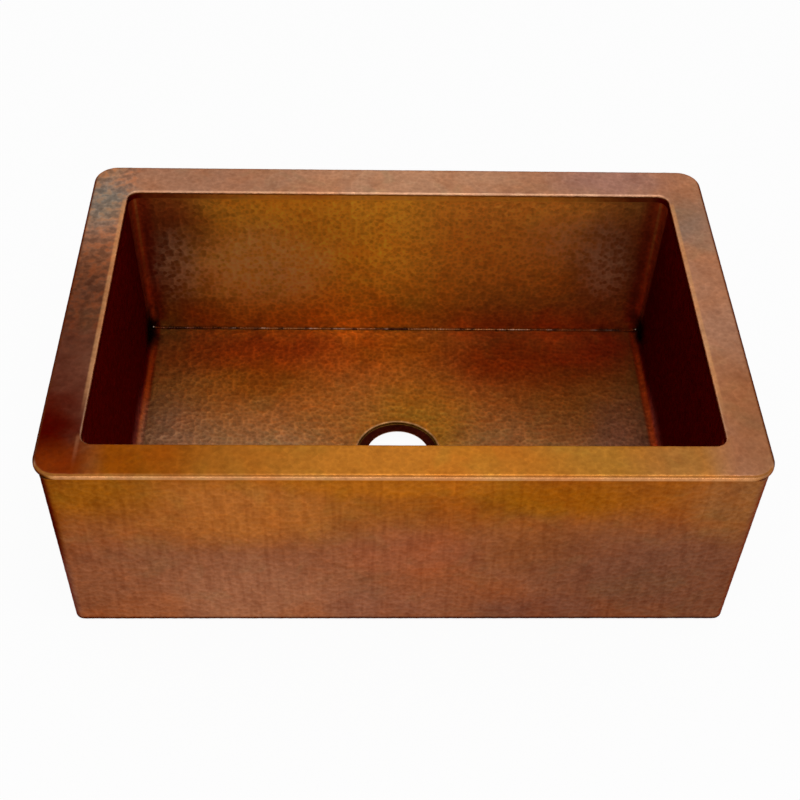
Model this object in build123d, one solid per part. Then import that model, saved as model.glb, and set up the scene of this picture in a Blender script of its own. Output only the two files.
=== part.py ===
"""Farmhouse apron front sink, welded from hammered copper sheet.

Frame: x runs along the sink, the apron faces -y, z is up, and the origin is at the middle of the footprint,
at the height of the apron's foot. Millimetres throughout.
"""

import os
from math import atan2, degrees

from build123d import *
from build123d.topology import SkipClean

# Overall
RIM_WIDTH = 838.2  # 33 in
RIM_DEPTH = 558.8  # 22 in
HEIGHT = 286.0
SHEET = 1.6  # 14 gauge copper
WELD_GAP = 1.5  # root gap of every butt weld
BEAD_RADIUS = 3.0  # inside fillet welds

# Rim deck
RIM_SIDE = 50.0  # opening to outer edge, left and right
RIM_FRONT = 48.0
RIM_BACK = 55.0
RIM_CORNER_RADIUS = 30.0
EDGE_ROLL_RADIUS = 5.0  # outside of the rolled outer edge
EDGE_DROP = 7.0  # top of the deck to the bottom of the rolled edge
OPENING_CORNER_RADIUS = 14.0
OPENING_ROLL_RADIUS = 3.5
OPENING_FLANGE = 12.0  # how far the deck turns down into the opening
SEAM_MARGIN = 1.0  # deck seam to the opening's flange
BOARD_CLEAR = 3.0  # cabinet's side board to the deck's bends and the apron's return

# Bowl
BOWL_DEPTH = 254.0  # 10 in, deck to floor along the walls
WALL_DRAFT = 4.0  # how far each wall leans in over its height
CORNER_REACH = 6.0  # end walls carry on along the side walls, past the corner bend
FLOOR_BEND_RADIUS = 12.0  # inside bend from the floor up to a side wall
BEND_CUT = 2.0  # side walls are notched at the ends this far below the top of that bend
FLOOR_LEDGE = 0.5  # floor edge past the end walls' outer faces
FLOOR_MARGIN = 10.0  # level border round the falling part of the floor
FLOOR_FALL = 10.0
DISH_CORNER_RADIUS = 20.0

# Drain
DRAIN_FORWARD = 13.0  # drain centre in front of the opening's centre
DRAIN_HOLE_RADIUS = 44.45  # 3.5 in
RECESS_RADIUS = 57.15  # 4.5 in
RECESS_DEPTH = 4.5
RECESS_SHOULDER_RADIUS = 2.4
RECESS_FOOT_RADIUS = 1.4
RECESS_BORDER = 8.0  # level ring round the recess

# Apron
APRON_SETBACK = 9.5  # apron side in from the rim's outer edge
APRON_CORNER_RADIUS = 12.0
APRON_FOOT_RADIUS = 8.0
APRON_RETURN = 50.0  # how far the sides wrap back
APRON_FOOT = 25.0  # bottom return behind the front panel
APRON_FOOT_SIDE = 14.0  # bottom return along the sides

CLEAR = 5.0  # overrun of a cutting tool

# Places that follow from the sizes
RIM_HALF = RIM_WIDTH / 2
FRONT = -RIM_DEPTH / 2
BACK = RIM_DEPTH / 2
OPEN_HALF = RIM_HALF - RIM_SIDE
OPEN_FRONT = FRONT + RIM_FRONT
OPEN_BACK = BACK - RIM_BACK
FLANGE_Z = HEIGHT - OPENING_FLANGE
WALL_TOP = FLANGE_Z - WELD_GAP
FLOOR_Z = HEIGHT - BOWL_DEPTH
NOTCH_Z = FLOOR_Z + FLOOR_BEND_RADIUS - BEND_CUT
FLOOR_HALF = OPEN_HALF - WALL_DRAFT
FLOOR_FRONT = OPEN_FRONT + WALL_DRAFT
FLOOR_BACK = OPEN_BACK - WALL_DRAFT
SEAM_X = OPEN_HALF + SHEET + SEAM_MARGIN
SEAM_FRONT = OPEN_FRONT + OPENING_CORNER_RADIUS
SEAM_BACK = OPEN_BACK - OPENING_CORNER_RADIUS
BEND_FRONT = SEAM_FRONT + CORNER_REACH
BEND_BACK = SEAM_BACK - CORNER_REACH
DRAIN_Y = (OPEN_FRONT + OPEN_BACK) / 2 - DRAIN_FORWARD
DRAIN_Z = FLOOR_Z - FLOOR_FALL
UNDER_Z = DRAIN_Z - RECESS_DEPTH - SHEET - CLEAR  # clear below the bowl
APRON_HALF = RIM_HALF - APRON_SETBACK
LIP_Z = HEIGHT - EDGE_DROP


def block(x_low, x_high, y_low, y_high, z_low, z_high):
    """Square-cornered block between two corners."""
    centre = Pos((x_low + x_high) / 2, (y_low + y_high) / 2, (z_low + z_high) / 2)
    return centre * Box(x_high - x_low, y_high - y_low, z_high - z_low)


def plan(half, y_front, y_back, corner, z):
    """Rectangle with rounded corners, lying level at height z."""
    return Pos(0, (y_front + y_back) / 2, z) * RectangleRounded(2 * half, y_back - y_front, corner)


def upright(half, y_front, y_back, corner, z_low, z_high):
    """Upright block on such a plan."""
    return extrude(plan(half, y_front, y_back, corner, z_low), z_high - z_low)


def rim_block(inset, z_low, z_high):
    """The rim's outline, drawn in by inset."""
    return upright(RIM_HALF - inset, FRONT + inset, BACK - inset, RIM_CORNER_RADIUS - inset, z_low, z_high)


def opening_block(outset, z_low, z_high):
    """The opening's outline, let out by outset."""
    return upright(
        OPEN_HALF + outset,
        OPEN_FRONT - outset,
        OPEN_BACK + outset,
        OPENING_CORNER_RADIUS + outset,
        z_low,
        z_high,
    )


def roll_outer_edge(part, radius):
    return fillet(part.faces().sort_by(Axis.Z)[-1].edges(), radius)


def roll_opening_edge(part, radius, outset):
    """Round the top edge where the opening meets the deck."""

    def at_opening(edge):
        centre = edge.center(CenterOf.BOUNDING_BOX)
        along = abs(centre.X) < OPEN_HALF + outset + 0.1
        across = OPEN_FRONT - outset - 0.1 < centre.Y < OPEN_BACK + outset + 0.1
        return along and across

    return fillet(part.edges().group_by(Axis.Z)[-1].filter_by(at_opening), radius)


def whole_rim():
    """Deck sheet rolled down at the outer edge and turned down into the opening."""
    skin = roll_outer_edge(rim_block(0, FLANGE_Z, HEIGHT), EDGE_ROLL_RADIUS)
    skin -= opening_block(0, FLANGE_Z - CLEAR, HEIGHT + CLEAR)
    skin = roll_opening_edge(skin, OPENING_ROLL_RADIUS, 0)
    hollow = roll_outer_edge(rim_block(SHEET, FLANGE_Z - CLEAR, HEIGHT - SHEET), EDGE_ROLL_RADIUS - SHEET)
    hollow -= opening_block(SHEET, FLANGE_Z - 2 * CLEAR, HEIGHT + CLEAR)
    hollow = roll_opening_edge(hollow, OPENING_ROLL_RADIUS - SHEET, SHEET)
    below_lip = rim_block(-CLEAR, FLANGE_Z - CLEAR, LIP_Z)
    below_lip -= opening_block(SHEET + SEAM_MARGIN, FLANGE_Z - 2 * CLEAR, HEIGHT)
    return skin - hollow - below_lip


def end_zones(grow):
    """The parts of the rim that its front and back strips take up, let out by grow."""
    half = SEAM_X + grow
    levels = (FLANGE_Z - CLEAR, HEIGHT + CLEAR)
    front = block(-half, half, FRONT - CLEAR, SEAM_FRONT + grow, *levels)
    back = block(-half, half, SEAM_BACK - grow, BACK + CLEAR, *levels)
    return front, back


def sides(part):
    """Left and right halves of a part."""
    reach = RIM_WIDTH
    left = part & block(-reach, 0, -reach, reach, -reach, reach)
    right = part & block(0, reach, -reach, reach, -reach, reach)
    return left, right


def with_landing(strip, side):
    """Outline on a side strip's underside, where the cabinet's board bears behind the apron's return."""
    near = OPEN_HALF + OPENING_ROLL_RADIUS + BOARD_CLEAR
    far = RIM_HALF - EDGE_ROLL_RADIUS - BOARD_CLEAR
    x_low, x_high = sorted([side * near, side * far])
    y_low = FRONT + APRON_RETURN + BOARD_CLEAR
    pad = block(x_low, x_high, y_low, BACK - RIM_CORNER_RADIUS, HEIGHT - SHEET, HEIGHT - SHEET / 2)
    with SkipClean():
        return (strip - pad) + pad


def rim_nodes():
    """Four strips, with the side strips running the full depth, and the seams between them."""
    rim = whole_rim()
    front_zone, back_zone = end_zones(0)
    front_wide, back_wide = end_zones(WELD_GAP)
    left, right = sides(rim - front_wide - back_wide)
    seam_front_left, seam_front_right = sides((rim & front_wide) - front_zone)
    seam_back_left, seam_back_right = sides((rim & back_wide) - back_zone)
    return {
        "rim_front": rim & front_zone,
        "rim_back": rim & back_zone,
        "rim_left": with_landing(left, -1),
        "rim_right": with_landing(right, 1),
        "weld_rim_front_left": seam_front_left,
        "weld_rim_front_right": seam_front_right,
        "weld_rim_back_left": seam_back_left,
        "weld_rim_back_right": seam_back_right,
    }


def opening_weld_nodes():
    """Weld run between the rim's flange and the bowl's walls, in four lengths."""
    ring = opening_block(SHEET, WALL_TOP, FLANGE_Z) - opening_block(0, WALL_TOP, FLANGE_Z)
    reach = RIM_WIDTH
    left, right = sides(ring & block(-reach, reach, SEAM_FRONT, SEAM_BACK, 0, HEIGHT))
    return {
        "weld_opening_front": ring & block(-reach, reach, FRONT, SEAM_FRONT, 0, HEIGHT),
        "weld_opening_back": ring & block(-reach, reach, SEAM_BACK, BACK, 0, HEIGHT),
        "weld_opening_left": left,
        "weld_opening_right": right,
    }


def bowl_block(outset):
    """The bowl's walls in plan, leaning in from the opening to the floor, let out by outset."""
    corner = OPENING_CORNER_RADIUS + outset
    top = plan(OPEN_HALF + outset, OPEN_FRONT - outset, OPEN_BACK + outset, corner, WALL_TOP)
    foot = plan(FLOOR_HALF + outset, FLOOR_FRONT - outset, FLOOR_BACK + outset, corner - WALL_DRAFT, FLOOR_Z)
    return loft([foot, top], ruled=True)


def side_x(z):
    """Inner face of a side wall at height z."""
    return FLOOR_HALF + WALL_DRAFT * (z - FLOOR_Z) / (WALL_TOP - FLOOR_Z)


def trough(outset, y_low, y_high):
    """Left wall, floor and right wall as one bent shape, filled, let out by outset."""
    floor = FLOOR_Z - outset
    foot_x = side_x(floor) + outset
    top_x = side_x(WALL_TOP) + outset
    bend = FLOOR_BEND_RADIUS + outset
    corners = [(-top_x, WALL_TOP), (-foot_x, floor), (foot_x, floor), (top_x, WALL_TOP)]
    outline = FilletPolyline(*corners, radius=[0, bend, bend, 0], close=True)
    section = Plane.XZ * make_face(outline)
    return Pos(0, y_high, 0) * extrude(section, y_high - y_low)


def dish():
    """The falling part of the floor, filled: a rounded rectangle that narrows to the drain's ring."""
    half = FLOOR_HALF - FLOOR_BEND_RADIUS - FLOOR_MARGIN
    y_front = FLOOR_FRONT + FLOOR_MARGIN
    y_back = FLOOR_BACK - FLOOR_MARGIN
    r = DISH_CORNER_RADIUS
    border = plan(half, y_front, y_back, r, FLOOR_Z)
    ends = [
        (half, y_front + r),
        (half, y_back - r),
        (half - r, y_back),
        (r - half, y_back),
        (-half, y_back - r),
        (-half, y_front + r),
        (r - half, y_front),
        (half - r, y_front),
    ]
    angles = [degrees(atan2(y - DRAIN_Y, x)) for x, y in ends]
    spans = [(after - angle) % 360 for angle, after in zip(angles, angles[1:] + angles[:1])]
    ring_radius = RECESS_RADIUS + RECESS_BORDER
    arcs = [CenterArc((0, DRAIN_Y), ring_radius, angle, span) for angle, span in zip(angles, spans)]
    ring = Pos(0, 0, DRAIN_Z) * make_face(arcs)
    return loft([ring, border], ruled=True)


def drain_recess():
    """Pressed ring round the drain hole, with a rounded shoulder and foot."""
    wall = RECESS_RADIUS
    ledge = DRAIN_Z - RECESS_DEPTH
    border = RECESS_RADIUS + RECESS_BORDER
    corners = [
        (DRAIN_HOLE_RADIUS, ledge),
        (wall, ledge),
        (wall, DRAIN_Z),
        (border, DRAIN_Z),
        (border, DRAIN_Z - SHEET),
        (wall + SHEET, DRAIN_Z - SHEET),
        (wall + SHEET, ledge - SHEET),
        (DRAIN_HOLE_RADIUS, ledge - SHEET),
    ]
    shoulder = RECESS_SHOULDER_RADIUS
    foot = RECESS_FOOT_RADIUS
    radii = [0, foot, shoulder, 0, 0, shoulder - SHEET, foot + SHEET, 0]
    section = Plane.XZ * make_face(FilletPolyline(*corners, radius=radii, close=True))
    return Pos(0, DRAIN_Y, 0) * revolve(section, Axis.Z)


def floor_and_sides():
    """One sheet: floor bent up into both side walls, with the fall and the drain recess pressed in."""
    y_low = FLOOR_FRONT - SHEET - FLOOR_LEDGE
    y_high = FLOOR_BACK + SHEET + FLOOR_LEDGE
    sheet = trough(SHEET, y_low, y_high) - trough(0, y_low - CLEAR, y_high + CLEAR)
    reach = RIM_WIDTH
    above = (NOTCH_Z, HEIGHT)
    sheet -= block(-reach, reach, y_low - CLEAR, BEND_FRONT + WELD_GAP, *above)
    sheet -= block(-reach, reach, BEND_BACK - WELD_GAP, y_high + CLEAR, *above)
    half = FLOOR_HALF + SHEET + FLOOR_LEDGE
    corner = OPENING_CORNER_RADIUS - WALL_DRAFT + SHEET
    wide = block(-reach, reach, y_low - CLEAR, y_high + CLEAR, FLOOR_Z - CLEAR, NOTCH_Z + CLEAR)
    corners = wide - block(-reach, reach, y_low + corner, y_high - corner, UNDER_Z, HEIGHT)
    sheet -= corners - upright(half, y_low, y_high, corner, UNDER_Z, HEIGHT)
    fall = dish()
    sheet = sheet + Pos(0, 0, -SHEET) * fall - fall
    sheet -= Pos(0, DRAIN_Y, FLOOR_Z) * Cylinder(RECESS_RADIUS + RECESS_BORDER, 2 * BOWL_DEPTH)
    return sheet + drain_recess()


def bowl_nodes():
    """Floor and sides, the two end walls that stand on it, and the seams between them."""
    band = bowl_block(SHEET) - bowl_block(0)
    reach = RIM_WIDTH
    y_low, y_high = FRONT - CLEAR, BACK + CLEAR
    outside_bend = block(-reach, reach, y_low, y_high, UNDER_Z, NOTCH_Z)
    outside_bend -= trough(0, y_low - CLEAR, y_high + CLEAR)
    front_wall = (band & block(-reach, reach, y_low, BEND_FRONT, UNDER_Z, HEIGHT)) - outside_bend
    back_wall = (band & block(-reach, reach, BEND_BACK, y_high, UNDER_Z, HEIGHT)) - outside_bend
    above = (NOTCH_Z, HEIGHT)
    front_left, front_right = sides(band & block(-reach, reach, BEND_FRONT, BEND_FRONT + WELD_GAP, *above))
    back_left, back_right = sides(band & block(-reach, reach, BEND_BACK - WELD_GAP, BEND_BACK, *above))
    bead_length = 2 * (FLOOR_HALF - FLOOR_BEND_RADIUS - SHEET)
    bead = Rot(0, 90, 0) * Cylinder(BEAD_RADIUS, bead_length)
    inside = bowl_block(0)
    return {
        "basin_floor_and_sides": floor_and_sides(),
        "basin_front_wall": front_wall,
        "basin_back_wall": back_wall,
        "weld_corner_front_left": front_left,
        "weld_corner_front_right": front_right,
        "weld_corner_back_left": back_left,
        "weld_corner_back_right": back_right,
        "weld_floor_front": (Pos(0, FLOOR_FRONT, FLOOR_Z) * bead) & inside,
        "weld_floor_back": (Pos(0, FLOOR_BACK, FLOOR_Z) * bead) & inside,
    }


def apron_pan(inset, y_back, z_high):
    """The apron's outline, filled and drawn in by inset: upright and foot edges rounded."""
    pan = block(inset - APRON_HALF, APRON_HALF - inset, FRONT + inset, y_back, inset, z_high)
    uprights = pan.edges().filter_by(Axis.Z).group_by(Axis.Y)[0]
    pan = fillet(uprights, APRON_CORNER_RADIUS - inset)
    foot = pan.faces().sort_by(Axis.Z)[0].edges().sort_by(Axis.Y)[:-1]
    return fillet(foot, APRON_FOOT_RADIUS - inset)


def foot_mitre(side):
    """Saw cut through the rounded foot corner on one side, at 45 degrees."""
    x = side * (APRON_HALF - APRON_CORNER_RADIUS)
    y = FRONT + APRON_CORNER_RADIUS
    length = 3 * APRON_FOOT
    cut = Rot(0, 0, -45 * side) * Box(length, WELD_GAP, 2 * APRON_FOOT_RADIUS)
    return Pos(x, y, 0) * cut


def apron_nodes():
    """Front panel with side and bottom returns, and the welds that hold and close it."""
    y_back = FRONT + APRON_RETURN
    deck_under = HEIGHT - SHEET
    pan = apron_pan(0, y_back, deck_under) - apron_pan(SHEET, y_back + CLEAR, HEIGHT + CLEAR)
    well_half = APRON_HALF - APRON_FOOT_SIDE
    pan -= block(-well_half, well_half, FRONT + APRON_FOOT, y_back + CLEAR, -CLEAR, APRON_FOOT_RADIUS)
    reach = RIM_WIDTH
    under_lip = block(-reach, reach, -reach, reach, LIP_Z - WELD_GAP, HEIGHT)
    under_lip -= rim_block(EDGE_ROLL_RADIUS, 0, HEIGHT + CLEAR)
    top_weld = (pan & under_lip) & block(-reach, reach, -reach, reach, 0, LIP_Z)
    mitre_left, mitre_right = foot_mitre(-1), foot_mitre(1)
    inner_face = APRON_HALF - SHEET
    bead_length = APRON_RETURN - RIM_CORNER_RADIUS
    bead = Rot(90, 0, 0) * Cylinder(BEAD_RADIUS, bead_length)
    bead_y = y_back - bead_length / 2
    corner_space = block(-inner_face, inner_face, FRONT, y_back, 0, deck_under)
    return {
        "apron": pan - under_lip - mitre_left - mitre_right,
        "weld_apron_top": top_weld,
        "weld_apron_foot_left": pan & mitre_left,
        "weld_apron_foot_right": pan & mitre_right,
        "weld_apron_return_left": (Pos(-inner_face, bead_y, deck_under) * bead) & corner_space,
        "weld_apron_return_right": (Pos(inner_face, bead_y, deck_under) * bead) & corner_space,
    }


os.makedirs("parts", exist_ok=True)
nodes = rim_nodes() | opening_weld_nodes() | bowl_nodes() | apron_nodes()
for name, shape in nodes.items():
    export_step(shape, f"parts/{name}.step")
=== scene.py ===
import math

import bpy
import numpy as np
from mathutils import Matrix, Vector
from mathutils.geometry import delaunay_2d_cdt
from mathutils.kdtree import KDTree


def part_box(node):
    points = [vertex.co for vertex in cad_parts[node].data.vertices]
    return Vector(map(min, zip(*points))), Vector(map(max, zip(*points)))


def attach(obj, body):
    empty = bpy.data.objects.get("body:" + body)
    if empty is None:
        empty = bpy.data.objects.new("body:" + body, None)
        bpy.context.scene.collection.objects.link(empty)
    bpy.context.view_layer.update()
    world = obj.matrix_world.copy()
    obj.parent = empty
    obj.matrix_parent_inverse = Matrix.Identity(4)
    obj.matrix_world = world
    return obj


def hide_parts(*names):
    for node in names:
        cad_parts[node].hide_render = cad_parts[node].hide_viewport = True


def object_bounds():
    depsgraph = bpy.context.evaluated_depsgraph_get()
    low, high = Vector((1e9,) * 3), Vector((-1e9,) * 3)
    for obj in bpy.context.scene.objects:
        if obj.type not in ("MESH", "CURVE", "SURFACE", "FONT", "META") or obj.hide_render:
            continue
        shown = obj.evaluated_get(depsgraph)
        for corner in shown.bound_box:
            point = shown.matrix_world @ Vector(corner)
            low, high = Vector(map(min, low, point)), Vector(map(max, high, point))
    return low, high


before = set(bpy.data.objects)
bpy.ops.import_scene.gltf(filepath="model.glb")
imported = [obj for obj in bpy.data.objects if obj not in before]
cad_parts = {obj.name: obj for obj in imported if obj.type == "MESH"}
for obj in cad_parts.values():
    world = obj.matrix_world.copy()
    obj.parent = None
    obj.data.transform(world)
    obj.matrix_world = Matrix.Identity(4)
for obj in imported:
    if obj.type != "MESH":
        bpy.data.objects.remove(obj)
cad_box = [list(corner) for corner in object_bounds()]


# ---- Basin floor and sides ----
# One sheet of copper makes the floor and both side walls, hammered by hand on the face that shows.
# It is bent up at the sides, and the fall of the floor and the drain recess are pressed in.

SHEET = 0.0016
WALL_DRAFT = 0.004
FLOOR_BEND = 0.012
OPENING_CORNER = 0.014
CORNER_REACH = 0.006
WELD_GAP = 0.0015
BEND_CUT = 0.002
FLOOR_LEDGE = 0.0005
FLOOR_MARGIN = 0.01
DISH_CORNER = 0.02
DRAIN_FORWARD = 0.013
DRAIN_HOLE = 0.04445
RECESS = 0.05715
RECESS_DEPTH = 0.0045
RECESS_SHOULDER = 0.0024
RECESS_FOOT = 0.0014
RECESS_BORDER = 0.008
RECESS_FADE = 0.006
TROUGH_STEPS = (0.0028, 0.009)  # widths of its triangles, on the face that shows and on the other

open_half = -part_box("weld_opening_left")[1].x
open_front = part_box("weld_opening_front")[0].y + SHEET
open_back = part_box("weld_opening_back")[1].y - SHEET
wall_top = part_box("weld_opening_front")[0].z
floor_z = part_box("basin_front_wall")[0].z
ledge_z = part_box("basin_floor_and_sides")[0].z + SHEET
drain_y = (open_front + open_back) / 2 - DRAIN_FORWARD
floor_half = open_half - WALL_DRAFT
floor_front = open_front + WALL_DRAFT
floor_back = open_back - WALL_DRAFT
core_half = open_half - OPENING_CORNER
core_front = open_front + OPENING_CORNER
core_back = open_back - OPENING_CORNER
bend_front = core_front + CORNER_REACH
bend_back = core_back - CORNER_REACH
core_y = {-1: core_front, 1: core_back}
notch_rise = FLOOR_BEND - BEND_CUT
notch_angle = math.acos(1 - notch_rise / FLOOR_BEND)

QUARTER = math.pi / 2
EDGE_STEP = 0.0026  # the longest run of a sheet's cut edges and creases
ARC_PARTS = 8
BEND_PARTS = 8
NOTCH_PARTS = 6
ROW_SHARE = 0.866  # of a triangle's width, between rows of triangles
LINE_CLEARANCE = 0.6  # of a triangle's width, between a line and the nearest loose point
MERGE_REACH = 1e-7
SLIVER_AREA = 1e-11
EDGE_FADE = 0.004  # over which the hammer marks die out towards a cut edge
AT_EDGE = 1e-3
TOUCH_REACH = 5e-6
SHARP_TURN = math.radians(50)


def chain(points, step):
    """The same line, with its runs divided into lengths of at most step."""
    points = [np.array(p, float) for p in points]
    out = [points[0]]
    for a, b in zip(points, points[1:]):
        parts = max(1, math.ceil(np.linalg.norm(b - a) / step - 1e-6))
        out += [a + (b - a) * k / parts for k in range(1, parts + 1)]
    return np.array(out)


def arc(x, y, radius, start, turn, parts=ARC_PARTS):
    """Points on an arc round x, y, with its angles in degrees."""
    angles = np.radians(start + turn * np.arange(parts + 1) / parts)
    return [(x + radius * math.cos(a), y + radius * math.sin(a)) for a in angles]


def rounded(half, y_low, y_high, radius):
    """Rounded rectangle round corner centres at half, y_low and y_high."""
    points = []
    for x, y, start in [(half, y_high, 0), (-half, y_high, 90), (-half, y_low, 180), (half, y_low, 270)]:
        points += arc(x, y, radius, start, 90)
    return points


def inside(points, loop):
    """Which points lie inside a closed loop."""
    x, y = points[:, 0], points[:, 1]
    found = np.zeros(len(points), bool)
    loop = np.array(loop)
    for (x0, y0), (x1, y1) in zip(loop, np.roll(loop, -1, 0)):
        if y0 != y1:
            found ^= ((y0 > y) != (y1 > y)) & (x < x0 + (y - y0) * (x1 - x0) / (y1 - y0))
    return found


def finder(places):
    """Search tree that finds the nearest of the places."""
    tree = KDTree(len(places))
    for k, place in enumerate(places):
        tree.insert(place, k)
    tree.balance()
    return tree


def nearness(points, places):
    """Distance from each place to the nearest of the points."""
    tree = finder([(x, y, 0) for x, y in points])
    return np.array([tree.find((x, y, 0))[2] for x, y in places])


def both_halves(right):
    """A pattern that is the same at both ends, from its right half."""
    return right + [(-x, y) for x, y in reversed(right)]


def end_creases(start, length, low, high):
    """Upright creases across the bends at both ends of a pattern, each this far from its middle line."""
    places = [side * (start + length * k / BEND_PARTS) for side in (-1, 1) for k in range(BEND_PARTS + 1)]
    return [[(x, low), (x, high)] for x in places]


def open_runs(faces):
    """The runs from point to point that only one face has."""
    runs = {(a, b) for f in faces.tolist() for a, b in zip(f, f[1:] + f[:1])}
    return sorted((a, b) for a, b in runs if (b, a) not in runs)


def flat_pattern(cut, creases, step):
    """Triangles over a flat pattern. cut is its outline and then its holes, and creases are lines in it."""
    lines = [chain([*loop, loop[0]], EDGE_STEP) for loop in cut]
    lines += [chain(line, EDGE_STEP) for line in creases]
    on_lines = np.concatenate(lines)
    links, start = [], 0
    for line in lines:
        links += [(start + k, start + k + 1) for k in range(len(line) - 1)]
        start += len(line)
    low, high = np.min(cut[0], 0), np.max(cut[0], 0)
    across = np.arange(low[0] + step / 2, high[0], step)
    up = np.arange(low[1] + step / 2, high[1], step * ROW_SHARE)
    grid = np.array([(x + step / 2 * (row % 2), y) for row, y in enumerate(up) for x in across])

    def on_copper(points):
        kept = inside(points, cut[0])
        for hole in cut[1:]:
            kept &= ~inside(points, hole)
        return kept

    if len(grid):
        grid = grid[on_copper(grid)]
    if len(grid):
        grid = grid[nearness(on_lines, grid) > LINE_CLEARANCE * step]
    given = np.concatenate([on_lines, grid]) if len(grid) else on_lines
    points, _, faces, origins, *_ = delaunay_2d_cdt([Vector(p) for p in given], links, [], 0, MERGE_REACH)
    flat = np.array([given[origin[0]] if origin else tuple(point) for point, origin in zip(points, origins)])
    faces = np.array(faces)
    a, b, c = (flat[faces[:, k]] for k in range(3))
    area = (b[:, 0] - a[:, 0]) * (c[:, 1] - a[:, 1]) - (b[:, 1] - a[:, 1]) * (c[:, 0] - a[:, 0])
    faces[area < 0] = faces[area < 0][:, ::-1]
    faces = faces[on_copper((a + b + c) / 3) & (np.abs(area) > SLIVER_AREA)]
    outline = np.unique([run for run in open_runs(faces)])
    edge = np.clip(nearness(flat[outline], flat) / EDGE_FADE, 0, 1)
    return flat, faces, edge


def facing(fold, flat):
    """Outward direction of the folded sheet's showing face."""
    reach = 1e-5
    along = fold(flat + (reach, 0)) - fold(flat - (reach, 0))
    across = fold(flat + (0, reach)) - fold(flat - (0, reach))
    normal = np.cross(along, across)
    return normal / np.linalg.norm(normal, axis=1, keepdims=True)


def at_same_place(places, others):
    """For each place, the number of the first of the others that touches it, or -1."""
    tree = finder(others)
    found = [[k for _, k, _ in tree.find_range(place, TOUCH_REACH)] for place in places]
    return np.array([min(near) if near else -1 for near in found], int)


def one_side(patches, step):
    """One face of a sheet: its patches folded up, and joined where their cut edges meet."""
    parts, start = [], 0
    for number, (cut, creases, fold, hammered) in enumerate(patches):
        flat, triangles, edge = flat_pattern(cut, creases, step)
        normal = facing(fold, flat)
        layer = np.c_[flat, np.full(len(flat), float(number))]
        press = -normal * (edge * hammered(flat))[:, None]
        parts.append((fold(flat), normal, layer, press, edge, triangles + start))
        start += len(flat)
    place, normal, sheet, press, edge, faces = (np.concatenate(part) for part in zip(*parts))
    rim = np.flatnonzero(edge < AT_EDGE)
    same = np.arange(len(place))
    same[rim] = rim[at_same_place(place[rim], place[rim])]
    used, faces = np.unique(same[faces], return_inverse=True)
    faces = faces.reshape(-1, 3)
    faces = faces[(faces[:, 0] != faces[:, 1]) & (faces[:, 1] != faces[:, 2]) & (faces[:, 2] != faces[:, 0])]
    return place[used], normal[used], sheet[used], press[used], edge[used], faces


def placed(name, data):
    """Object of this mesh, lamp or lens, in the scene."""
    made = bpy.data.objects.new(name, data)
    bpy.context.scene.collection.objects.link(made)
    return made


def folded_sheet(name, patches, show_step, back_step):
    """Closed shell of one sheet. A patch is its cut lines, its creases, its fold and where it is hammered."""
    place, normal, sheet, press, edge, faces = one_side(patches, show_step)
    back_place, back_normal, back_sheet, back_press, _, back_faces = one_side(patches, back_step)
    count = len(place)
    rim = np.flatnonzero(edge < AT_EDGE)
    partner = dict(zip(rim.tolist(), at_same_place(place[rim], back_place).tolist()))
    walls = [(b, a, count + partner[a], count + partner[b]) for a, b in open_runs(faces)]
    mesh = bpy.data.meshes.new(name)
    places = np.concatenate([place, back_place - SHEET * back_normal])
    mesh.from_pydata(places.tolist(), [], faces.tolist() + (back_faces[:, ::-1] + count).tolist() + walls)
    for attribute, values in (("sheet", (sheet, back_sheet)), ("press", (press, back_press))):
        layer = mesh.attributes.new(attribute, "FLOAT_VECTOR", "POINT")
        layer.data.foreach_set("vector", np.concatenate(values).astype(np.float32).ravel())
    layer = mesh.attributes.new("show", "FLOAT", "POINT")
    layer.data.foreach_set("value", np.repeat([1.0, 0.0], [count, len(back_place)]).astype(np.float32))
    mesh.validate()
    mesh.shade_smooth()
    mesh.set_sharp_from_angle(angle=SHARP_TURN)
    return placed(name, mesh)


def arithmetic(operation):
    """One operator's two methods, with the wire on its left and on its right."""

    def left(self, other):
        return self.math(operation, self, other)

    def right(self, other):
        return self.math(operation, other, self)

    return left, right


class Wire:
    """A node's output, on which plain arithmetic adds Math nodes."""

    def __init__(self, bench, socket):
        self.bench = bench
        self.socket = socket

    def math(self, operation, *terms):
        return self.bench.node("ShaderNodeMath", {"operation": operation}, dict(enumerate(terms)))

    def also(self, output):
        return Wire(self.bench, self.socket.node.outputs[output])

    __add__, __radd__ = arithmetic("ADD")
    __sub__, __rsub__ = arithmetic("SUBTRACT")
    __mul__, __rmul__ = arithmetic("MULTIPLY")
    __truediv__, __rtruediv__ = arithmetic("DIVIDE")
    __pow__, __rpow__ = arithmetic("POWER")

    def __abs__(self):
        return self.math("ABSOLUTE", self)

    def low(self, other):
        return self.math("MINIMUM", self, other)

    def high(self, other):
        return self.math("MAXIMUM", self, other)


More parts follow.
